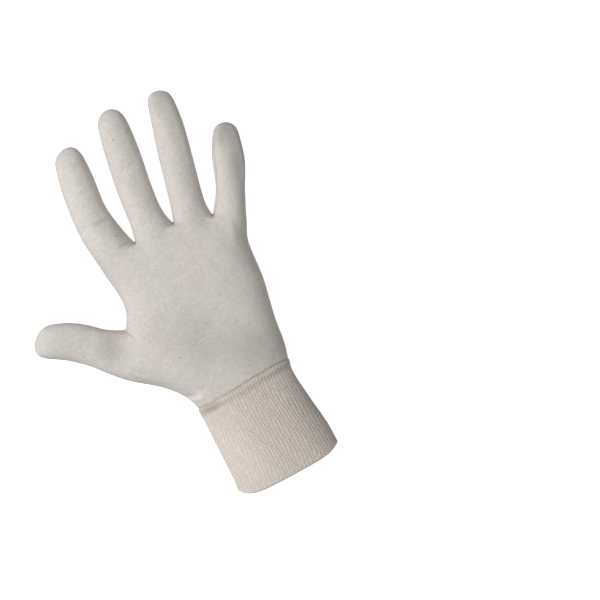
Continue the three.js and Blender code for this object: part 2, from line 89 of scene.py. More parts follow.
# How a CAD shell is made ready for smoothing: points this close are merged, triangles that meet
# flatter than this become four-sided faces, and edges sharper than this are a cloth's cut rim
shell = {"merge": 0.02 * mm, "pair": math.radians(70), "rim": math.radians(48)}


def softCopy(node, name):
    # The CAD node's own mesh, merged and turned back to four-sided faces
    piece = bpy.data.objects.new(name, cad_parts[node].data.copy())
    bpy.context.scene.collection.objects.link(piece)
    makeActive(piece)
    bpy.ops.object.mode_set(mode="EDIT")
    bpy.ops.mesh.select_all(action="SELECT")
    bpy.ops.mesh.remove_doubles(threshold=shell["merge"])
    bpy.ops.mesh.tris_convert_to_quads(face_threshold=shell["pair"], shape_threshold=shell["pair"])
    bpy.ops.mesh.faces_shade_smooth()
    bpy.ops.object.mode_set(mode="OBJECT")
    bpy.ops.mesh.customdata_custom_splitnormals_clear()
    piece.data.materials.clear()
    return piece


def creaseRims(piece, firm):
    # the cut edges of a cloth stay thin where the cloth is smoothed
    mesh = bmesh.new()
    mesh.from_mesh(piece.data)
    layer = mesh.edges.layers.float.new("crease_edge")
    for edge in mesh.edges:
        if len(edge.link_faces) == 2 and edge.calc_face_angle() > shell["rim"]:
            edge[layer] = firm
    mesh.to_mesh(piece.data)
    mesh.free()


def refine(piece, longest):
    # splits what is longer than the finest fold needs
    mesh = bmesh.new()
    mesh.from_mesh(piece.data)
    tooLong = [edge for edge in mesh.edges if edge.calc_length() > longest]
    bmesh.ops.subdivide_edges(mesh, edges=tooLong, cuts=1, use_grid_fill=True, smooth=0.0)
    for face in mesh.faces:
        face.smooth = True
    mesh.to_mesh(piece.data)
    mesh.free()


def finishPiece(piece, slot, material, *nodes):
    piece.data.materials.clear()
    piece.data.materials.append(material)
    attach(piece, "root")
    if nodes:
        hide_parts(*nodes)


# Shader maths

class Tint:
    # wraps one socket, so that an expression on it adds the Math nodes
    def __init__(self, finish, socket):
        self.finish = finish
        self.socket = socket

    def calc(self, operation, a, b):
        return self.finish.node("ShaderNodeMath", {"operation": operation}, {0: a, 1: b})

    def __add__(self, other):
        return self.calc("ADD", self, other)

    def __sub__(self, other):
        return self.calc("SUBTRACT", self, other)

    def __rsub__(self, other):
        return self.calc("SUBTRACT", other, self)

    def __mul__(self, other):
        return self.calc("MULTIPLY", self, other)

    def __truediv__(self, other):
        return self.calc("DIVIDE", self, other)

    __radd__ = __add__
    __rmul__ = __mul__


class Finish:
    # one material and the nodes that it is made of
    def __init__(self, name):
        self.material = bpy.data.materials.new(name)
        self.material.use_nodes = True
        self.tree = self.material.node_tree
        self.shader = self.tree.nodes["Principled BSDF"]

    def node(self, kind, settings=None, inputs=None, output=0):
        made = self.tree.nodes.new(kind)
        for key, value in (settings or {}).items():
            setattr(made, key, value)
        for key, value in (inputs or {}).items():
            if isinstance(value, Tint):
                self.tree.links.new(value.socket, made.inputs[key])
            else:
                made.inputs[key].default_value = value
        return Tint(self, made.outputs[output])

    def feed(self, name, value):
        if isinstance(value, Tint):
            self.tree.links.new(value.socket, self.shader.inputs[name])
        else:
            self.shader.inputs[name].default_value = value

    def func(self, operation, value):
        return self.node("ShaderNodeMath", {"operation": operation}, {0: value})

    def smooth(self, value, low, high):
        # 0 below low, 1 above high, eased between
        return self.node(
            "ShaderNodeMapRange",
            {"interpolation_type": "SMOOTHSTEP"},
            {0: value, 1: low, 2: high},
        )

    def place(self):
        return self.node("ShaderNodeTexCoord", {}, {}, 3)

    def stretch(self, where, scale, turn=0.0):
        return self.node(
            "ShaderNodeMapping",
            {},
            {"Vector": where, "Scale": scale, "Rotation": (0.0, 0.0, turn)},
        )

    def noise(self, where, look):
        scale, detail, rough = look
        return self.node(
            "ShaderNodeTexNoise",
            {},
            {"Vector": where, "Scale": scale, "Detail": detail, "Roughness": rough},
        )

    def blend(self, share, first, second, mode="MIX"):
        return self.node(
            "ShaderNodeMix",
            {"data_type": "RGBA", "blend_type": mode},
            {0: share, 6: first, 7: second},
            2,
        )

    def shaded(self, color, shade):
        grey = self.node("ShaderNodeCombineColor", {}, {0: shade, 1: shade, 2: shade})
        return self.blend(1.0, color, grey, "MULTIPLY")

    def knitUv(self):
        # the piece's own map, in millimetres: across the wales, and along them
        spot = self.node("ShaderNodeUVMap", {"uv_map": "knit"})
        across = self.node("ShaderNodeSeparateXYZ", {}, {0: spot})
        return across, Tint(self, across.socket.node.outputs[1])

    def stitches(self, across, along, wale, look):
        # a plain knit: the rise of a wale, its V loops, and how far off the wale's middle it is
        off = self.func("ABSOLUTE", self.func("FRACT", across / wale) - 0.5) * 2.0
        turns = along / look["course"] + off * look["lean"]
        loop = self.func("COSINE", turns * (2 * math.pi)) * 0.5 + 0.5
        column = 1.0 - off * off
        return column, loop, off

    def coverCotton(self, color, look, height):
        # dull cotton with a little fuzz, over the relief of its stitches
        self.feed("Base Color", color)
        self.feed("Roughness", look["rough"])
        self.feed("Specular IOR Level", cotton["specular"])
        self.feed("Sheen Weight", cotton["sheen"])
        self.feed("Sheen Roughness", cotton["sheenRough"])
        bump = self.node(
            "ShaderNodeBump",
            {},
            {"Strength": look["bumpStrength"], "Distance": look["bump"], "Height": height},
        )
        self.feed("Normal", bump)


# What all the knits share
cotton = {"specular": 0.18, "sheen": 0.12, "sheenRough": 0.6}

# Looks of the hand's fabric, an interlock knit of unbleached cotton. A noise is its scale, detail
# and roughness, and edges are the two values that something is eased between.
handLook = {
    "pale": (0.622, 0.583, 0.540, 1.0),
    "cool": (0.606, 0.579, 0.542, 1.0),
    "coolNoise": (34.0, 3.0, 0.55),
    "coolEdges": (0.36, 0.66),
    "coolShare": 0.8,
    "warm": (0.632, 0.580, 0.530, 1.0),
    "warmNoise": (62.0, 3.0, 0.6),
    "warmTurn": 0.7,
    "warmEdges": (0.44, 0.72),
    "warmShare": 0.6,
    "wale": 1.25,
    "course": 0.95,
    "lean": 0.55,
    "brightness": 1.06,
    "waleShade": 0.06,
    "loopShade": 0.03,
    "mottleNoise": (430.0, 4.0, 0.75),
    "mottle": 0.48,
    "yarnNoise": (1200.0, 2.0, 0.6),
    "yarnStretch": (1.0, 0.4, 1.0),
    "yarn": 0.22,
    "crinkleNoise": (560.0, 3.0, 0.6),
    "crinkleStretch": (0.32, 1.0, 1.0),
    "crinkle": 0.16,
    "crinkleBump": 2.6,
    "foldEdges": (0.25, 1.7),
    "foldShade": 0.12,
    "fleck": (0.20, 0.15, 0.11, 1.0),
    "fleckShape": (1.6, 1.2),
    "fleckEdges": (0.1, 0.7),
    "fleckShare": 0.6,
    "rough": 0.93,
    "fuzzNoise": (2600.0, 2.0, 0.7),
    "waleBump": 0.5,
    "loopBump": 0.3,
    "fuzzBump": 0.55,
    "bump": 0.14 * mm,
    "bumpStrength": 0.7,
}

# Ovals of painted shade (darker) and painted light (paler) on the hand, and dark seed flecks with their
# sizes, all in the pattern frame
handLightAndShade = [
    {"at": (-10.0, 36.0), "turn": -48.0, "reach": (52.0, 26.0), "tone": -0.12},
    {"at": (15.0, 20.0), "turn": -25.0, "reach": (30.0, 20.0), "tone": -0.14},
    {"at": (-70.0, 60.0), "turn": 64.0, "reach": (21.0, 17.0), "tone": -0.19},
    {"at": (-97.0, 72.0), "turn": -20.0, "reach": (30.0, 18.0), "tone": -0.07},
    {"at": (54.5, 153.5), "turn": 70.0, "reach": (14.0, 10.0), "tone": -0.27},
    {"at": (57.8, 139.0), "turn": 66.0, "reach": (25.0, 9.5), "tone": -0.18},
    {"at": (-52.0, 106.0), "turn": 112.0, "reach": (28.0, 13.0), "tone": -0.07},
    {"at": (-36.0, 125.0), "turn": 80.0, "reach": (10.0, 4.5), "tone": -0.06},
    {"at": (-49.0, 155.0), "turn": 90.0, "reach": (50.0, 17.0), "tone": 0.04},
    {"at": (-36.5, 152.0), "turn": 89.6, "reach": (36.0, 6.5), "tone": 0.11},
    {"at": (-2.5, 156.0), "turn": 85.4, "reach": (40.0, 6.5), "tone": 0.13},
    {"at": (29.5, 155.0), "turn": 80.6, "reach": (40.0, 6.0), "tone": 0.09},
    {"at": (25.5, 190.0), "turn": 80.0, "reach": (14.0, 9.0), "tone": -0.12},
    {"at": (38.0, 102.0), "turn": 75.0, "reach": (22.0, 12.0), "tone": 0.10},
    {"at": (-36.0, 7.0), "turn": -20.0, "reach": (14.0, 8.0), "tone": 0.09},
]
# Ovals of painted shade under both ends of the joint and on the cuff's right, and painted light on its
# left
cuffLightAndShade = [
    {"at": (-31.0, -2.6), "turn": 4.0, "reach": (11.0, 4.2), "tone": -0.24},
    {"at": (24.0, 0.6), "turn": 4.0, "reach": (14.0, 5.0), "tone": -0.08},
    {"at": (-26.0, -36.0), "turn": 90.0, "reach": (46.0, 24.0), "tone": 0.10},
    {"at": (33.0, -34.0), "turn": 88.0, "reach": (54.0, 26.0), "tone": -0.20},
]
flecks = [
    (-90.0, 63.0, 0.6), (-33.5, 35.0, 0.65), (-9.0, 48.0, 0.55), (-12.5, 45.0, 0.5), (-30.0, 11.0, 0.5),
    (18.0, 108.5, 0.5), (-37.0, 124.0, 0.6), (-11.5, 181.0, 0.7), (-50.0, 70.0, 0.4), (3.0, 80.0, 0.35),
    (22.0, 150.0, 0.4), (-22.0, 92.0, 0.35), (-58.0, 44.0, 0.4), (46.0, 131.0, 0.35), (-45.0, 160.0, 0.4),
]

ovalEdges = (0.1, 1.0)  # shares of an oval's reach


def spotAt(f, here, oval):
    # 1 in the middle of an oval on the plan, 0 at its edge
    flat = f.node(
        "ShaderNodeVectorMath",
        {"operation": "MULTIPLY"},
        {0: here, 1: (1 / mm, 1 / mm, 0.0)},
    )
    centre = (-oval["at"][0] - patternShift[0], -oval["at"][1] - patternShift[1], 0.0)
    moved = f.node("ShaderNodeVectorMath", {"operation": "ADD"}, {0: flat, 1: centre})
    turned = f.stretch(moved, (1.0, 1.0, 1.0), -math.radians(oval["turn"]))
    sized = f.stretch(turned, (1 / oval["reach"][0], 1 / oval["reach"][1], 1.0))
    far = f.node("ShaderNodeVectorMath", {"operation": "LENGTH"}, {0: sized}, 1)
    return 1.0 - f.smooth(far, *ovalEdges)


def zoned(f, here, shade, zones):
    # painted light and shade: each oval makes the colour paler or darker by its tone
    for zone in zones:
        shade = shade * (spotAt(f, here, zone) * zone["tone"] + 1.0)
    return shade


def stitchRelief(f, here, look, column, loop):
    fuzz = f.noise(here, look["fuzzNoise"])
    return column * look["waleBump"] + loop * column * look["loopBump"] + fuzz * look["fuzzBump"]


def handFinish(name, zones, seeds, creased):
    look = handLook
    f = Finish(name)
    here = f.place()
    column, loop, off = f.stitches(*f.knitUv(), look["wale"], look)
    cool = f.smooth(f.noise(here, look["coolNoise"]), *look["coolEdges"])
    turned = f.stretch(here, (1.0, 1.0, 1.0), look["warmTurn"])
    warm = f.smooth(f.noise(turned, look["warmNoise"]), *look["warmEdges"])
    color = f.blend(cool * look["coolShare"], look["pale"], look["cool"])
    color = f.blend(warm * look["warmShare"], color, look["warm"])
    mottle = f.noise(here, look["mottleNoise"]) - 0.5
    yarn = f.noise(f.stretch(here, look["yarnStretch"]), look["yarnNoise"]) - 0.5
    crinkle = f.noise(f.stretch(here, look["crinkleStretch"]), look["crinkleNoise"]) - 0.5
    shade = look["brightness"] + mottle * look["mottle"] + yarn * look["yarn"]
    # painted shade and light of the fine crinkles, from the same noise as their bump
    shade = shade + crinkle * look["crinkle"]
    # painted shade between the wales and between the loops
    shade = shade - off * off * look["waleShade"] - (1.0 - loop) * look["loopShade"]
    shade = zoned(f, here, shade, zones)
    if creased:
        # painted shade in the narrow creases
        fold = f.node("ShaderNodeAttribute", {"attribute_name": "fold"}, {}, 2)
        shade = shade * (1.0 - f.smooth(fold, *look["foldEdges"]) * look["foldShade"])
    color = f.shaded(color, shade)
    for x, y, size in seeds:
        reach = (size * look["fleckShape"][0], size * look["fleckShape"][1])
        spot = spotAt(f, here, {"at": (x, y), "turn": 0.0, "reach": reach})
        share = f.smooth(spot, *look["fleckEdges"]) * look["fleckShare"]
        color = f.blend(share, color, look["fleck"])
    height = stitchRelief(f, here, look, column, loop) + crinkle * look["crinkleBump"]
    f.coverCotton(color, look, height)
    return f.material


# Looks of the rib cuff, with painted shade in its rib valleys and loop gaps. The joint with the hand is a
# brownish line, then a duller band with deeper painted shade in its rib valleys, both measured in
# millimetres down from it.
cuffLook = {
    "pale": (0.698, 0.634, 0.580, 1.0),
    "warm": (0.680, 0.600, 0.525, 1.0),
    "warmSpot": {"at": (4.0, -30.0), "turn": 85.0, "reach": (46.0, 30.0)},
    "warmNoise": (55.0, 3.0, 0.6),
    "warmEdges": (0.38, 0.66),
    # colour of the painted shade in the rib valleys and the gaps between loops
    "groove": (0.42, 0.352, 0.29, 1.0),
    "grooveEdges": (0.55, 1.0),
    "grooveShadeShare": 0.28,
    "gapEdges": (0.0, 0.5),
    "gapShadeShare": 0.34,
    "seam": (0.36, 0.285, 0.215, 1.0),
    "seamEdges": (0.3, 1.2),
    "seamShare": 0.5,
    "band": (0.40, 0.335, 0.285, 1.0),
    "bandEdges": (3.8, 6.4),
    "bandShare": 0.14,
    "bandGroove": 0.45,
    "course": 1.3,
    "lean": 0.75,
    "brightness": 0.67,
    "mottleNoise": (900.0, 3.0, 0.65),
    "mottle": 0.48,
    "coarseNoise": (420.0, 2.0, 0.6),
    "coarse": 0.18,
    "rough": 0.94,
    "fuzzNoise": (2400.0, 2.0, 0.7),
    "waleBump": 0.3,
    "loopBump": 0.7,
    "fuzzBump": 0.4,
    "bump": 0.26 * mm,
    "bumpStrength": 0.8,
}


def cuffFinish(name, zones):
    look = cuffLook
    f = Finish(name)
    here = f.place()
    across, along = f.knitUv()
    column, loop, off = f.stitches(across, along, 1.0, look)  # its map counts ribs, not millimetres
    warm = f.smooth(f.noise(here, look["warmNoise"]), *look["warmEdges"]) * 0.5 + 0.5
    color = f.blend(warm * spotAt(f, here, look["warmSpot"]), look["pale"], look["warm"])
    # painted shade: the rib valleys and the gaps between loops are darkened toward the groove colour
    valley = f.smooth(off, *look["grooveEdges"])
    gap = (1.0 - loop) * f.smooth(off, *look["gapEdges"])
    color = f.blend(valley * look["grooveShadeShare"] + gap * look["gapShadeShare"], color, look["groove"])
    below = f.smooth(along, *look["seamEdges"])
    band = below * (1.0 - f.smooth(along, *look["bandEdges"]))
    color = f.blend((1.0 - below) * look["seamShare"], color, look["seam"])
    # a duller band below the joint, with deeper painted shade in its rib valleys
    color = f.blend(band * (look["bandShare"] + valley * look["bandGroove"]), color, look["band"])
    mottle = f.noise(here, look["mottleNoise"])
    coarse = f.noise(here, look["coarseNoise"])
    shade = look["brightness"] + mottle * look["mottle"] + coarse * look["coarse"]
    color = f.shaded(color, zoned(f, here, shade, zones))
    f.coverCotton(color, look, stitchRelief(f, here, look, column, loop))
    return f.material


# Fingers: foot of the line that the pattern measures from, its lean clockwise in degrees, length
# and half width, and how far to the right of that line the finger's own middle is
fingers = {
    "index": {"foot": (-43.0, 117.0), "lean": 0.4, "length": 74.1, "half": 12.5, "middle": -3.9},
    "middle": {"foot": (-14.3, 114.5), "lean": 4.6, "length": 87.4, "half": 11.3, "middle": -1.4},
    "ring": {"foot": (12.2, 111.8), "lean": 9.4, "length": 88.0, "half": 11.2, "middle": 0.3},
    "little": {"foot": (35.0, 105.0), "lean": 20.6, "length": 60.5, "half": 10.7, "middle": 2.6},
}

# Heights of a panel's skin are read by rays on a square raster, and the cloth unrolled from them
raster = {"step": 0.6, "steepest": 4.0, "rayStart": 0.1, "margin": 2.0, "pin": (-5.0, 55.0)}

# Each finger is unrolled from a pin on its middle, as far as this to the sides, below its foot and
# past its tip. Its knit takes over from the palm's past its start, over some length.
fingerKnit = {
    "pin": 6.0, "reach": 22.0, "below": 20.0, "past": 4.0, "owns": -6.0, "start": -4.0, "over": 20.0,
}


def easeOf(t):
    c = np.clip(t, 0, 1)
    return c * c * (3 - 2 * c)


def rasterOf(piece, upward, foot, lean, span):
    # heights in millimetres over a leaning frame; span is lowest and highest, across and along
    tree = BVHTree.FromObject(piece, bpy.context.evaluated_depsgraph_get())
    across = np.arange(span[0], span[1], raster["step"])
    along = np.arange(span[2], span[3], raster["step"])
    c = math.cos(math.radians(lean))
    s = math.sin(math.radians(lean))
    heights = np.full((len(along), len(across)), np.nan)
    ray = Vector((0, 0, -1 if upward else 1))
    start = raster["rayStart"] if upward else -raster["rayStart"]
    for j, t in enumerate(along):
        for i, u in enumerate(across):
            x = foot[0] + c * u + s * t + patternShift[0]
            y = foot[1] - s * u + c * t + patternShift[1]
            spot = tree.ray_cast(Vector((x * mm, y * mm, start)), ray)[0]
            if spot is not None:
                heights[j, i] = spot.z / mm
    return across, along, heights


def extraLength(heights, startRow, startColumn):
    # How much longer the cloth is than its plan, along each row from a pinned column. A stretch
    # without that column takes its pin from the row before it.
    step = raster["step"]
    slope = np.abs(np.gradient(heights, step, axis=1))
    slope = np.clip(np.nan_to_num(slope, nan=raster["steepest"]), 0, raster["steepest"])
    gain = (np.sqrt(1 + slope * slope) - 1) * step
    inside = ~np.isnan(heights)
    extra = np.full(heights.shape, np.nan)
    rows = len(heights)
    order = [(j, None if j == startRow else j - 1) for j in range(startRow, rows)]
    order += [(j, j + 1) for j in range(startRow - 1, -1, -1)]
    for j, before in order:
        columns = np.flatnonzero(inside[j])
        if len(columns) == 0:
            continue
        for run in np.split(columns, np.flatnonzero(np.diff(columns) > 1) + 1):
            total = np.cumsum(gain[j, run])
            shared = [] if before is None else run[~np.isnan(extra[before, run])]
            if run[0] <= startColumn <= run[-1]:
                pin, value = startColumn, 0.0
            elif len(shared):
                pin = shared[len(shared) // 2]
                value = extra[before, pin]
            else:
                pin, value = run[len(run) // 2], 0.0
            extra[j, run] = total - total[pin - run[0]] + value
    return extra


def fillAround(field, rounds=6):
    # carries the values a little way past the edge
    for _ in range(rounds):
        empty = np.isnan(field)
        padded = np.pad(field, 1, constant_values=np.nan)
        around = [padded[1:-1, :-2], padded[1:-1, 2:], padded[:-2, 1:-1], padded[2:, 1:-1]]
        known = np.sum([~np.isnan(a) for a in around], axis=0)
        total = np.nansum(around, axis=0)
        fill = empty & (known > 0)
        field[fill] = total[fill] / known[fill]
    return np.nan_to_num(field)


def readField(field, across, along, u, v):
    # the raster's values at any place, in a straight line between its points
    i = np.clip((u - across[0]) / raster["step"], 0, len(across) - 1.001)
    j = np.clip((v - along[0]) / raster["step"], 0, len(along) - 1.001)
    i0 = i.astype(int)
    j0 = j.astype(int)
    fi = i - i0
    fj = j - j0
    low = field[j0, i0] * (1 - fi) + field[j0, i0 + 1] * fi
    high = field[j0 + 1, i0] * (1 - fi) + field[j0 + 1, i0 + 1] * fi
    return low * (1 - fj) + high * fj


def unrolled(piece, upward, foot, lean, span, pin, u, v):
    # what the cloth gains sideways and lengthways at each place, and its raster
    across, along, heights = rasterOf(piece, upward, foot, lean, span)
    column = int(round((pin[0] - span[0]) / raster["step"]))
    row = int(round((pin[1] - span[2]) / raster["step"]))
    sideways = fillAround(extraLength(heights, row, column))
    lengthways = fillAround(extraLength(heights.T, column, row).T)
    spread = readField(sideways, across, along, u, v)
    reach = readField(lengthways, across, along, u, v)
    return spread, reach, (across, along, heights)


def patternOf(mesh):
    points = readPoints(mesh) / mm
    return points[:, 0] - patternShift[0], points[:, 1] - patternShift[1], points[:, 2]


def digitSpot(finger, x, y):
    # across and along a finger, from the foot of its line
    c = math.cos(math.radians(finger["lean"]))
    s = math.sin(math.radians(finger["lean"]))
    dx = x - finger["foot"][0]
    dy = y - finger["foot"][1]
    return c * dx - s * dy, s * dx + c * dy


def writeMap(mesh, u, v):
    layer = mesh.uv_layers.new(name="knit") if "knit" not in mesh.uv_layers else mesh.uv_layers["knit"]
    corners = np.empty(len(mesh.loops), dtype=np.int64)
    mesh.loops.foreach_get("vertex_index", corners)
    pairs = np.stack([u[corners], v[corners]], axis=1)
    layer.data.foreach_set("uv", pairs.ravel())


def knitMap(piece, upward):
    # the wales run along the hand and follow each finger; distances are along the cloth
    x, y, _ = patternOf(piece.data)
    margin = raster["margin"]
    span = (x.min() - margin, x.max() + margin, y.min() - margin, y.max() + margin)
    spread, reach, plan = unrolled(piece, upward, (0.0, 0.0), 0.0, span, raster["pin"], x, y)
    u = x + spread
    v = y + reach
    nearest = np.full(len(x), np.inf)
    owner = np.full(len(x), -1)
    for k, finger in enumerate(fingers.values()):
        across, along = digitSpot(finger, x, y)
        far = np.abs(across - finger["middle"]) - finger["half"]
        closer = (far < nearest) & (along > fingerKnit["owns"])
        nearest[closer] = far[closer]
        owner[closer] = k
    wide = fingerKnit["reach"]
    for k, finger in enumerate(fingers.values()):
        across, along = digitSpot(finger, x, y)
        foot = finger["foot"]
        span = (-wide, wide, -fingerKnit["below"], finger["length"] + fingerKnit["past"])
        pin = (finger["middle"], fingerKnit["pin"])
        spread, reach, _ = unrolled(piece, upward, foot, finger["lean"], span, pin, across, along)
        share = easeOf((along - fingerKnit["start"]) / fingerKnit["over"]) * (owner == k)
        u = u * (1 - share) + (foot[0] + across + spread) * share
        v = v * (1 - share) + (foot[1] + along + reach) * share
    writeMap(piece.data, u, v)
    return plan


# Folds of the worn cloth: a groove from one spot to another, its depth, and how wide it is to
# either side. A spot is across and along its finger, or without one, in the pattern frame. The ends
# fade over a length of their own, and only the narrow folds get painted shade in their creases.
foldEnds = 4.0
narrowFold = 1.5
backFolds = {
    "index crease": {"from": (-47.5, 135.2), "to": (-34.5, 136.7), "depth": 1.4, "wide": 1.3},
    "index crease left": {"from": (-55.0, 137.6), "to": (-48.0, 135.6), "depth": 0.7, "wide": 1.2},
    "index crease lip": {"from": (-50.0, 131.8), "to": (-38.0, 132.8), "depth": -0.5, "wide": 2.6},
    "index flank": {"from": (-36.0, 131.0), "to": (-33.5, 120.0), "depth": 0.8, "wide": 3.4},
    "web fold": {"from": (-37.5, 116.2), "to": (-30.0, 116.6), "depth": 1.5, "wide": 1.0},
    "thumb root one": {"from": (-67.5, 38.0), "to": (-61.0, 31.5), "depth": 1.4, "wide": 1.1},
    "thumb root two": {"from": (-65.0, 41.5), "to": (-58.5, 34.5), "depth": 1.2, "wide": 1.1},
    "thumb root three": {"from": (-61.5, 31.0), "to": (-56.0, 26.0), "depth": 1.2, "wide": 1.1},
    "thumb root four": {"from": (-57.0, 24.0), "to": (-52.0, 21.0), "depth": 1.0, "wide": 1.1},
    "wrist pucker": {"from": (-44.0, 12.2), "to": (-36.0, 8.8), "depth": 2.5, "wide": 1.3},
    "wrist pucker lip": {"from": (-39.5, 6.4), "to": (-31.5, 5.2), "depth": -1.4, "wide": 1.7},
    "wrist pucker two": {"from": (-33.0, 12.5), "to": (-27.0, 9.5), "depth": 0.7, "wide": 1.3},
    "ring root": {"from": (11.0, 111.0), "to": (21.0, 107.0), "depth": 0.5, "wide": 1.6},
    "palm dip": {"from": (-40.0, 58.0), "to": (2.0, 22.0), "depth": 0.7, "wide": 10.0},
    "little flank": {
        "finger": "little", "from": (-7.2, 20.0), "to": (-5.6, 56.0),
        "depth": 0.8, "wide": 1.2,
    },
    "little tip hollow": {
        "finger": "little", "from": (1.0, 40.0), "to": (0.5, 52.5),
        "depth": 0.7, "wide": 3.6,
    },
    "index tip": {"finger": "index", "from": (-9.0, 63.5), "to": (3.0, 65.5), "depth": 0.9, "wide": 1.7},
    "middle tip": {
        "finger": "middle", "from": (-6.0, 75.5), "to": (5.0, 77.5),
        "depth": 0.55, "wide": 1.7,
    },
    "ring tip": {"finger": "ring", "from": (-4.0, 76.5), "to": (7.0, 78.0), "depth": 0.8, "wide": 1.8},
}

# Shallow hollows of the back
dips = {
    "thumb hollow": {"at": (-65.5, 54.5), "spread": (10.5, 9.5), "depth": 1.3},
    "wrist middle": {"at": (-2.0, 26.0), "spread": (14.0, 8.0), "depth": 0.5},
}

# A finger that has turned on its seam falls away to its right, from some way along it, by this
# slope past a line left of its own. The half width and softness keep it off its neighbours.
fallAway = {
    "fingers": {"little": {"from": 12.0, "slope": 0.17}, "ring": {"from": 50.0, "slope": 0.05}},
    "line": -2.0, "centre": 2.0, "half": 16.0, "soft": 3.0, "over": 16.0,
}

# Round shoulders along the right side of the other fingers
shoulders = {
    "rise": {"index": 0.62, "middle": 0.55, "ring": 0.5},
    "off": 0.9, "wide": 0.26, "foot": -2.0, "footFade": 10.0, "tip": 4.0, "tipFade": 12.0,
}

# Faint wrinkles across the fingers. A pair of numbers is a range that one is drawn from.
crossWrinkles = {
    "seed": 5, "on": ("index", "middle", "ring"), "each": 8, "foot": 8.0, "ends": 20.0,
    "spacing": (0.1, 0.9), "start": (-12.0, -2.0), "length": (8.0, 17.0), "turn": (-2.4, 2.4),
    "depth": 0.8, "depths": (0.4, 1.0), "wide": 1.3, "widths": (0.8, 1.5),
}

# Unevenness of the filled cloth, with a seed for each panel
sway = {
    "backSeed": 11, "palmSeed": 12, "waves": 14, "longest": 40.0, "shortest": 12.0, "depth": 0.035,
}

# The palm runs flat into the fingers over the webs, below this line through them: the window
# closes the valleys, and the rest says where and how softly that counts
webs = {
    "x": [-56.2, -28.2, -0.3, 24.9, 45.0],
    "y": [112.0, 114.3, 115.0, 108.6, 101.2],
    "window": 21, "smoothings": 3, "start": -0.4, "over": 2.6, "lowest": 84.0, "lowFade": 10.0,
    "left": 11.0, "leftFade": 9.0, "right": 8.0, "rightFade": 8.0, "wall": 1.3, "most": 30.0,
}

# The wrist seam runs between two points, and waves: each wave is its share, pitch and start
wristLine = {
    "left": (-38.6, 0.2), "right": (28.3, 5.0), "wave": 0.22,
    "waves": [(1.0, 0.13, 0.6), (0.6, 0.33, 2.0), (0.35, 0.71, 0.0)],
}

# Small gathers where the cloth is eased onto the cuff
gathers = {
    "depth": 0.12, "pitch": 1.9, "drift": 1.3, "driftPitch": 0.37, "least": 0.6, "more": 0.4,
    "morePitch": 0.53, "reach": 5.0, "full": 1.4,
}


def swayField(x, y, seed):
    # soft unevenness of filled cloth: a few seeded waves in all directions
    pick = np.random.default_rng(seed)
    total = np.zeros(len(x))
    for k in range(sway["waves"]):
        length = sway["longest"] * (sway["shortest"] / sway["longest"]) ** (k / (sway["waves"] - 1))
        turn = pick.uniform(0, 2 * math.pi)
        phase = pick.uniform(0, 2 * math.pi)
        total += np.sin((x * math.cos(turn) + y * math.sin(turn)) * (2 * math.pi / length) + phase)
    return total * sway["depth"]


def foldField(x, y, folds):
    total = np.zeros(len(x))
    for fold in folds:
        u, v = (x, y) if "finger" not in fold else digitSpot(fingers[fold["finger"]], x, y)
        x0, y0 = fold["from"]
        x1, y1 = fold["to"]
        dx = x1 - x0
        dy = y1 - y0
        length = math.hypot(dx, dy)
        along = ((u - x0) * dx + (v - y0) * dy) / length
        aside = ((u - x0) * dy - (v - y0) * dx) / length
        soft = min(foldEnds + fold["wide"], length)
        ends = easeOf((along + soft / 2) / soft) * easeOf((length + soft / 2 - along) / soft)
        total += fold["depth"] * np.exp(-((aside / fold["wide"]) ** 2)) * ends
    return total


def wrinklesAcross():
    look = crossWrinkles
    pick = np.random.default_rng(look["seed"])
    folds = []
    for name in look["on"]:
        finger = fingers[name]
        for n in range(look["each"]):
            place = (n + pick.uniform(*look["spacing"])) / look["each"]
            along = look["foot"] + (finger["length"] - look["ends"]) * place
            start = finger["middle"] + pick.uniform(*look["start"])
            end = start + pick.uniform(*look["length"])
            folds.append({
                "finger": name,
                "from": (start, along),
                "to": (end, along + pick.uniform(*look["turn"])),
                "depth": look["depth"] * pick.uniform(*look["depths"]),
                "wide": look["wide"] * pick.uniform(*look["widths"]),
            })
    return folds


def dipField(x, y):
    total = np.zeros(len(x))
    for dip in dips.values():
        u = (x - dip["at"][0]) / dip["spread"][0]
        v = (y - dip["at"][1]) / dip["spread"][1]
        total += dip["depth"] * np.exp(-u * u - v * v)
    for name, fall in fallAway["fingers"].items():
        across, along = digitSpot(fingers[name], x, y)
        near = easeOf((fallAway["half"] - np.abs(across - fallAway["centre"])) / fallAway["soft"])
        near *= easeOf((along - fall["from"]) / fallAway["over"])
        total += near * fall["slope"] * np.maximum(0, across - fallAway["line"])
    for name, rise in shoulders["rise"].items():
        finger = fingers[name]
        across, along = digitSpot(finger, x, y)
        off = (across - finger["middle"]) / finger["half"]
        near = easeOf((along - shoulders["foot"]) / shoulders["footFade"])
        near *= easeOf((finger["length"] - shoulders["tip"] - along) / shoulders["tipFade"])
        total -= near * rise * np.exp(-(((off - shoulders["off"]) / shoulders["wide"]) ** 2))
    return total


def wristSlope():
    left, right = wristLine["left"], wristLine["right"]
    return (right[1] - left[1]) / (right[0] - left[0])


def aboveWrist(x, y):
    return y - wristLine["left"][1] - (x - wristLine["left"][0]) * wristSlope()


def gatherField(x, y):
    wave = np.sin(x * gathers["pitch"] + gathers["drift"] * np.sin(x * gathers["driftPitch"]))
    wave *= gathers["least"] + gathers["more"] * np.sin(x * gathers["morePitch"] + 1)
    return wave * gathers["depth"] * easeOf(gathers["full"] - aboveWrist(x, y) / gathers["reach"])


def wristWave(x):
    total = sum(share * np.sin(x * pitch + start) for share, pitch, start in wristLine["waves"])
    return wristLine["wave"] * total


def slide(field, choose, count):
    # the highest or lowest value within so many columns to either side
    best = field.copy()
    for k in range(1, count + 1):
        best[:, k:] = choose(best[:, k:], field[:, :-k])
        best[:, :-k] = choose(best[:, :-k], field[:, k:])
    return best


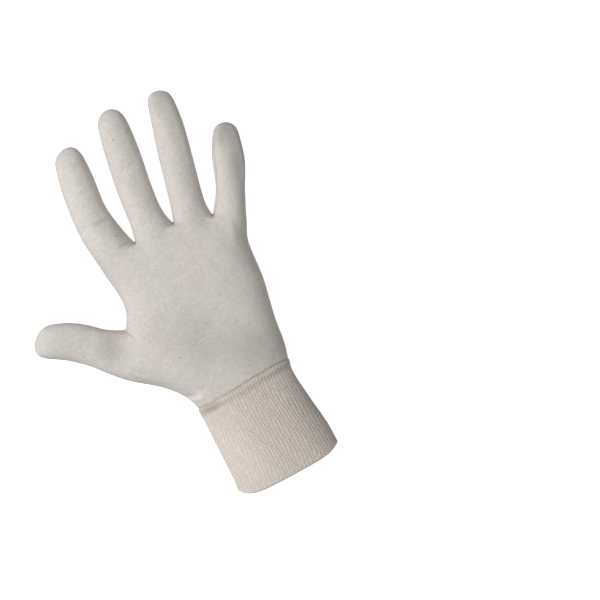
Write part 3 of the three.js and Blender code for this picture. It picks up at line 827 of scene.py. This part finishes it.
def webFill(across, along, heights):
    # the height at which the palm runs flat into the fingers, and how much of it counts
    empty = np.isnan(heights)
    high = slide(np.where(empty, -np.inf, heights), np.maximum, webs["window"])
    closed = slide(np.where(empty, np.inf, high), np.minimum, webs["window"])
    closed = fillAround(np.where(empty, np.nan, closed))
    for _ in range(webs["smoothings"]):
        closed[:, 1:-1] = (closed[:, :-2] + 2 * closed[:, 1:-1] + closed[:, 2:]) / 4
        closed[1:-1] = (closed[:-2] + 2 * closed[1:-1] + closed[2:]) / 4
    x, y = np.meshgrid(across, along)
    line = np.interp(x, webs["x"], webs["y"])
    share = easeOf((line - webs["start"] - y) / webs["over"])
    share *= easeOf((y - webs["lowest"]) / webs["lowFade"])
    share *= easeOf((x - webs["x"][0] - webs["left"]) / webs["leftFade"])
    share *= easeOf((webs["x"][-1] - webs["right"] - x) / webs["rightFade"])
    return closed, share


# The two panels: how they are smoothed, the height of the side seam where they meet, how far from
# it each relief fades in, and how far up from the wrist the seam's wave reaches
panel = {
    "rimCrease": 0.75, "levels": 2, "longest": 1.35 * mm, "seamHeight": 10.0,
    "backStart": 0.5, "backFade": 6.0, "fillStart": -1.0, "fillFade": 2.0,
    "palmFade": 7.0, "palmShare": 0.6, "wristFade": 9.0,
}


def backRelief(piece, plan, lift):
    # folds, hollows and the filled webs of the upper panel, in millimetres
    x, y, z = patternOf(piece.data)
    narrow = [fold for fold in backFolds.values() if fold["wide"] < narrowFold]
    # the narrow folds' depth, which sets the painted shade in their creases
    mark = piece.data.attributes.new("fold", "FLOAT", "POINT")
    mark.data.foreach_set("value", np.maximum(foldField(x, y, narrow), 0))
    creases = foldField(x, y, backFolds.values()) + foldField(x, y, wrinklesAcross())
    lift = lift - (creases + dipField(x, y))
    closed, share = [readField(field, plan[0], plan[1], x, y) for field in webFill(*plan)]
    inside = readNormals(piece.data)[:, 2] < 0
    rise = np.clip(closed - z - inside * webs["wall"], 0, webs["most"]) * share
    above = z - panel["seamHeight"]
    raised = lift * easeOf((above - panel["backStart"]) / panel["backFade"])
    return raised + rise * easeOf((above - panel["fillStart"]) / panel["fillFade"])


def palmRelief(piece, lift):
    # the lower panel only sways inwards, off the floor
    _, _, z = patternOf(piece.data)
    return np.abs(lift) * easeOf((panel["seamHeight"] - z) / panel["palmFade"]) * panel["palmShare"]


def handPanel(node, upward, seed):
    piece = softCopy(node, node + "_cloth")
    creaseRims(piece, panel["rimCrease"])
    applyModifier(piece, "SUBSURF", levels=panel["levels"], render_levels=panel["levels"])
    if upward:
        refine(piece, panel["longest"])
    plan = knitMap(piece, upward)
    x, y, _ = patternOf(piece.data)
    lift = swayField(x, y, seed) + gatherField(x, y)
    relief = backRelief(piece, plan, lift) if upward else palmRelief(piece, lift)
    points = readPoints(piece.data)
    points[:, 2] += relief * mm
    points[:, 1] += wristWave(x) * easeOf(1 - aboveWrist(x, y) / panel["wristFade"]) * mm
    writePoints(piece.data, points)
    return piece


# Cuff: its outline below the wrist seam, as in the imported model
cuffRows = [
    {"down": 0, "left": 0, "right": -0.1, "rise": 0},
    {"down": 1.8, "left": 0.4, "right": -0.2, "rise": 0.5},
    {"down": 4.6, "left": 0.4, "right": -0.9, "rise": 0.4},
    {"down": 8, "left": 0, "right": -1.3, "rise": -0.5},
    {"down": 30, "left": -0.3, "right": 1.2, "rise": -0.7},
    {"down": 52, "left": -0.6, "right": 4.3, "rise": -0.5},
    {"down": 68, "left": 0, "right": 5.0, "rise": -0.6},
]

# The wall, folded double at the hem: loop gives the shares of its grid at which the outer layer, the
# hem and the inner layer end. The ribs wander in waves, each with its size, its turns down and round
# the cuff, and its start. The seam inside lifts a low band under the joint, with a groove below it.
cuff = {
    "wall": 2.4, "length": 67.0, "seamHeight": 10.8, "rise": 13.0, "sink": 12.21, "gap": 0.3,
    "tilt": 0.03, "liftLeft": 6.5, "liftRight": 4.0, "liftTurn": 6, "liftDown": 3, "blend": 1.4,
    "girthAt": 30.0, "loop": (0.64, 0.74, 0.97), "tuck": 1.6, "tuckFade": 0.9, "tuckInset": 1.0,
    "rows": 150, "ribs": 72, "perRib": 8, "ribDepth": 0.60, "ribRound": 2.2, "ribFull": 0.97,
    "ribLow": 0.62, "firmTop": 0.75, "firmFade": 9.0, "uneven": 0.18, "settled": 12.0,
    "unevenRound": 211, "unevenDown": 0.21, "merge": 0.002 * mm,
    "wander": [(0.24, 0.11, 38, 0), (0.15, 0.31, 97, 1), (0.07, 1.3, 311, 0), (0.05, 2.3, 517, 2)],
    "band": {"height": 0.30, "down": 2.7, "wide": 1.3},
    "bandGroove": {"height": -0.46, "down": 5.6, "wide": 1.7},
    "bandLull": {"share": 0.6, "at": -9.0, "wide": 9.0}, "bandSides": 1.6, "seamWave": 14.0,
}


def curveOf(rows, key, x):
    # smooth curve through the table rows, with slopes limited so that it never overshoots
    xs = np.array([float(row["down"]) for row in rows])
    ys = np.array([float(row[key]) for row in rows])
    step = np.diff(ys) / np.diff(xs)
    slope = [step[0]]
    for before, after in zip(step[:-1], step[1:]):
        slope.append(0.0 if before * after <= 0 else 2 * before * after / (before + after))
    slope = np.array(slope + [step[-1]])
    c = np.clip(x, xs[0], xs[-1])
    i = np.clip(np.searchsorted(xs, c, side="left") - 1, 0, len(xs) - 2)
    w = xs[i + 1] - xs[i]
    t = (c - xs[i]) / w
    value = ys[i] * (1 + 2 * t) * (1 - t) ** 2 + ys[i + 1] * t * t * (3 - 2 * t)
    return value + w * (slope[i] * t * (1 - t) ** 2 - slope[i + 1] * t * t * (1 - t))


def onFloor(z):
    # what would sink below the floor rests on it, with a soft turn
    soft = (z + cuff["blend"]) ** 2 / (4 * cuff["blend"])
    return np.where(z >= cuff["blend"], z, np.where(z <= -cuff["blend"], 0, soft))


def cuffSpot(down, angle):
    # the outer face, across and up, and the middle of the cuff there
    left = wristLine["left"][0] - curveOf(cuffRows, "left", down)
    right = wristLine["right"][0] + curveOf(cuffRows, "right", down)
    middle = (left + right) / 2
    swell = curveOf(cuffRows, "rise", down)
    s = np.sin(angle)
    tall = np.where(s > 0, cuff["rise"] + swell, cuff["sink"] + 0.5 * swell)
    x = middle + (right - left) / 2 * np.cos(angle)
    return x, onFloor(cuff["seamHeight"] + tall * s), middle


def cuffPoint(down, angle, inset):
    # a point of the wall, this far in from its outer face
    nearby = 0.01
    x, z, middle = cuffSpot(down, angle)
    aheadX, aheadZ, _ = cuffSpot(down, angle + nearby)
    behindX, behindZ, _ = cuffSpot(down, angle - nearby)
    tx = aheadX - behindX
    tz = aheadZ - behindZ
    size = np.hypot(tx, tz)
    x = x - inset * tz / size
    z = np.maximum(0, z + inset * tx / size)
    far = down / cuff["length"]
    turned = np.cos(angle)
    lifted = np.where(turned < 0, cuff["liftLeft"], cuff["liftRight"])
    left = wristLine["left"]
    y = left[1] + (x - left[0]) * wristSlope() - cuff["gap"] - down
    y += lifted * np.abs(turned) ** cuff["liftTurn"] * far ** cuff["liftDown"]
    y -= cuff["tilt"] * (x - middle) * far
    return np.stack([x + patternShift[0], y + patternShift[1], z], axis=1) * mm


def girthAngles(shares):
    # angle at each share of the girth
    fine = np.linspace(0, 2 * math.pi, 2001)
    x, z, _ = cuffSpot(np.full(len(fine), cuff["girthAt"]), fine)
    run = np.concatenate([[0], np.cumsum(np.hypot(np.diff(x), np.diff(z)))])
    return np.interp(shares * run[-1], run, fine)


def cuffLoop(share):
    # once round the wall: how far down, how far in, 1 on the inner layer, and 1 where it closes
    outerEnd, hemEnd, innerEnd = cuff["loop"]
    radius = cuff["wall"] / 2
    straight = cuff["length"] - radius
    top = -cuff["tuck"]
    turn = np.clip((share - outerEnd) / (hemEnd - outerEnd), 0, 1)
    back = np.clip((share - hemEnd) / (innerEnd - hemEnd), 0, 1)
    closing = np.clip((share - innerEnd) / (1 - innerEnd), 0, 1)
    outer = top + share / outerEnd * (straight - top)
    down = np.where(share < outerEnd, outer, straight + radius * np.sin(turn * math.pi))
    down = np.where(share > hemEnd, straight + (top - straight) * back, down)
    inset = radius * (1 - np.cos(turn * math.pi)) * (1 - closing)
    tucked = 1 - easeOf((down - top) / (cuff["tuck"] + cuff["tuckFade"]))
    inset = inset + cuff["tuckInset"] * tucked * (1 - inset / cuff["wall"])
    return down, inset, easeOf(turn), closing


def ribRise(off):
    # the round section of a rib, from its middle to the groove
    curved = np.sqrt(np.maximum(0, 1 - (off * cuff["ribFull"]) ** cuff["ribRound"]))
    return curved - cuff["ribLow"]


def hump(look, down):
    return look["height"] * np.exp(-(((down - look["down"]) / look["wide"]) ** 2))


def ribCuff():
    columns = cuff["ribs"] * cuff["perRib"]
    deselectAll()
    bpy.ops.mesh.primitive_grid_add(x_subdivisions=columns, y_subdivisions=cuff["rows"], size=1)
    piece = bpy.context.object
    piece.name = "rib_cuff_knit"
    grid = readPoints(piece.data)
    u = grid[:, 0] + 0.5
    down, inset, inner, closing = cuffLoop(grid[:, 1] + 0.5)
    settled = easeOf(down / cuff["settled"])
    wander = sum(
        size * np.sin(down * turnsDown + u * turnsRound + start)
        for size, turnsDown, turnsRound, start in cuff["wander"]
    )
    ribs = u * cuff["ribs"]
    moved = ribs + wander * settled * (1 - inner)
    off = np.abs(ribs - np.round(ribs)) * 2
    firm = cuff["firmTop"] + (1 - cuff["firmTop"]) * easeOf(down / cuff["firmFade"])
    drift = u * cuff["unevenRound"] + 2 * np.sin(down * cuff["unevenDown"])
    uneven = 1 + cuff["uneven"] * np.sin(drift) * settled
    depth = cuff["ribDepth"] * firm * uneven * (1 - closing)
    stand = ribRise(off) * depth * (1 - inner) - ribRise(1 - off) * depth * inner
    # on top, the seam inside lifts a low band below the joint
    angle = girthAngles(moved / cuff["ribs"])
    lull = cuff["bandLull"]
    besides = (cuffSpot(down, angle)[0] - lull["at"]) / lull["wide"]
    band = hump(cuff["band"], down) + hump(cuff["bandGroove"], down)
    band *= 1 - lull["share"] * np.exp(-(besides ** 2))
    stand += band * easeOf(np.sin(angle) * cuff["bandSides"]) * (1 - inner)
    points = cuffPoint(down, angle, inset - stand)
    writeMap(piece.data, ribs, np.where(inner > 0.5, 2 * cuff["length"] - down, down))
    x = points[:, 0] / mm - patternShift[0]
    points[:, 1] += wristWave(x) * easeOf(1 - down / cuff["seamWave"]) * mm
    writePoints(piece.data, points)
    makeActive(piece)
    bpy.ops.object.mode_set(mode="EDIT")
    bpy.ops.mesh.select_all(action="SELECT")
    bpy.ops.mesh.remove_doubles(threshold=cuff["merge"])
    bpy.ops.mesh.normals_make_consistent(inside=False)
    bpy.ops.mesh.faces_shade_smooth()
    bpy.ops.object.mode_set(mode="OBJECT")
    return piece


def wristAllowance():
    piece = softCopy("wrist_allowance", "wrist_allowance_overlock")
    applyModifier(piece, "SUBSURF", levels=panel["levels"], render_levels=panel["levels"])
    x, y, _ = patternOf(piece.data)
    writeMap(piece.data, x, y)
    return piece


# Floor, light and camera

def softLight(name, look):
    data = bpy.data.lights.new(name, "AREA")
    data.shape = "DISK"
    data.size = look["size"]
    data.energy = look["power"]
    lamp = bpy.data.objects.new(name, data)
    bpy.context.scene.collection.objects.link(lamp)
    toward = Vector(look["direction"]).normalized()
    lamp.location = toward * look["distance"]
    lamp.rotation_euler = toward.to_track_quat("Z", "Y").to_euler()


floorLook = {"size": 6, "drop": 0.4 * mm, "grey": 0.9, "rough": 0.9, "glow": 0.75}


def paleFloor():
    deselectAll()
    bpy.ops.mesh.primitive_plane_add(size=floorLook["size"])
    floor = bpy.context.object
    floor.name = "floor"
    bpy.ops.object.mode_set(mode="EDIT")
    bpy.ops.mesh.select_all(action="SELECT")
    bpy.ops.transform.translate(value=(0, 0, -floorLook["drop"]))
    bpy.ops.object.mode_set(mode="OBJECT")
    f = Finish("floor_white")
    f.feed("Base Color", (floorLook["grey"], floorLook["grey"], floorLook["grey"], 1.0))
    f.feed("Roughness", floorLook["rough"])
    f.feed("Emission Color", (1.0, 1.0, 1.0, 1.0))
    f.feed("Emission Strength", floorLook["glow"])
    floor.data.materials.append(f.material)
    floor.visible_diffuse = False


light = {
    "side": {"direction": (-0.899, 0.438, 0.95), "distance": 1.6, "size": 1.3, "power": 20.5},
    "top": {"direction": (0.1, -0.2, 1.0), "distance": 1.8, "size": 1.6, "power": 5.0},
    "world": 0.33,
}


def studio():
    scene = bpy.context.scene
    scene.view_settings.view_transform = "Standard"
    scene.view_settings.look = "None"
    world = bpy.data.worlds.new("studio")
    scene.world = world
    world.use_nodes = True
    background = world.node_tree.nodes["Background"]
    background.inputs["Color"].default_value = (1.0, 1.0, 1.0, 1.0)
    background.inputs["Strength"].default_value = light["world"]
    softLight("side_light", light["side"])
    softLight("top_light", light["top"])


# The photograph is taken from straight above, and the hand leans to the right in it
camera = {"aim": (78.6, -33.5), "above": 1094.0, "lens": 100.0, "sensor": 36, "turn": -26.0}


def lookDown():
    data = bpy.data.cameras.new("camera")
    data.lens = camera["lens"]
    data.sensor_width = camera["sensor"]
    data.clip_start = 0.05
    view = bpy.data.objects.new("camera", data)
    bpy.context.scene.collection.objects.link(view)
    view.location = (camera["aim"][0] * mm, camera["aim"][1] * mm, camera["above"] * mm)
    view.rotation_euler = (0, 0, math.radians(camera["turn"]))
    bpy.context.scene.camera = view


print("stage, light and camera")
lookDown()
paleFloor()
studio()

print("hand panels")
backKnit = handFinish("back_interlock", handLightAndShade, flecks, True)
palmKnit = handFinish("palm_interlock", [], [], False)
back = handPanel("back_panel", True, sway["backSeed"])
finishPiece(back, "back_panel", backKnit, "back_panel")
palm = handPanel("palm_panel", False, sway["palmSeed"])
finishPiece(palm, "palm_panel", palmKnit, "palm_panel")

print("cuff and the seam inside it")
cuffKnit = cuffFinish("cuff_rib_knit", cuffLightAndShade)
finishPiece(ribCuff(), "rib_cuff", cuffKnit, "rib_cuff")
finishPiece(wristAllowance(), "wrist_allowance", palmKnit, "wrist_allowance")
